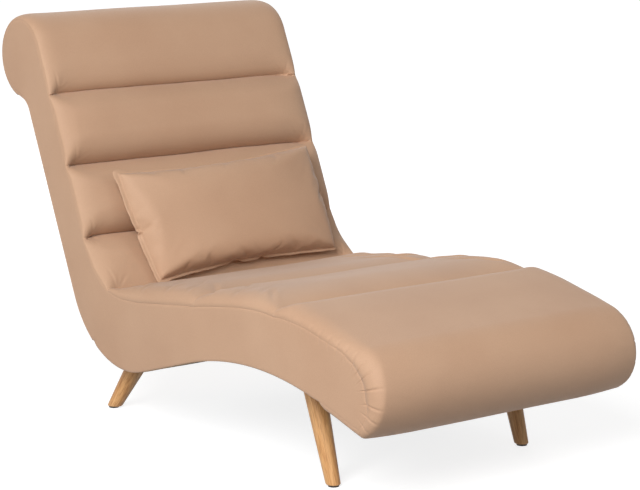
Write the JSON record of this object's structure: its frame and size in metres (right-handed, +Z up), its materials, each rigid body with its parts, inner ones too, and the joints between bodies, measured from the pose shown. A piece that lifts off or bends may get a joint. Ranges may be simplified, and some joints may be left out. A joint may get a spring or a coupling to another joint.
{
  "type": "upholstered chaise longue",
  "caption": "Armless relax chaise longue with an S-shaped body, rolled head, sewn cross channels, round foot bolster, splayed tapered oak legs and a loose lumbar cushion.",
  "frame": {"origin": "on the floor, under the middle of the whole object's box", "axes": "+X across the seat, to the right as seen from the foot end, +Y from the foot end to the back, +Z up"},
  "size_m": [0.73, 1.5119, 0.931],
  "materials": {
    "upholstery": "satin",
    "oak": "satin",
    "plywood": "matte",
    "softwood": "matte",
    "foam": "matte",
    "felt": "matte",
    "lining": "matte",
    "webbing": "matte",
    "steel": "satin",
    "glide": "matte"
  },
  "bodies": {
    "lounge": {"back_base_foam": "foam", "back_strap_1": "webbing", "back_strap_2": "webbing", "back_strap_3": "webbing", "back_strap_4": "webbing", "felt_layer": "felt", "foot_bolster": "upholstery", "foot_glides": "glide", "foot_rail": "softwood", "frame_screws": "steel", "front_corner_block_left": "softwood", "front_corner_block_right": "softwood", "front_leg_left": "oak", "front_leg_rail": "softwood", "front_leg_right": "oak", "hanger_bolts": "steel", "head_former": "plywood", "head_rail": "softwood", "head_rib": "plywood", "head_roll_pad": "upholstery", "hollow_rail": "softwood", "lower_back_channel": "upholstery", "lower_back_rail": "softwood", "middle_back_channel": "upholstery", "rear_corner_block_left": "softwood", "rear_corner_block_right": "softwood", "rear_cover": "upholstery", "rear_leg_left": "oak", "rear_leg_rail": "softwood", "rear_leg_right": "oak", "seat_base_foam": "foam", "seat_channel": "upholstery", "seat_panel": "upholstery", "seat_rail": "softwood", "seat_strap_1": "webbing", "seat_strap_2": "webbing", "seat_strap_3": "webbing", "seat_strap_4": "webbing", "seat_strap_5": "webbing", "seat_strap_6": "webbing", "side_cover_left": "upholstery", "side_cover_right": "upholstery", "side_frame_left": "plywood", "side_frame_right": "plywood", "tee_nuts": "steel", "underside_cover": "lining", "upper_back_channel": "upholstery", "upper_back_rail": "softwood"},
    "cushion": {"cushion_cover": "upholstery", "cushion_filling": "foam"}
  },
  "joints": [
    {"name": "cushion_lift", "type": "slide", "parent": "lounge", "child": "cushion", "axis": [0, -0.5, 0.866], "range_m": [0, 0.4]}
  ]
}
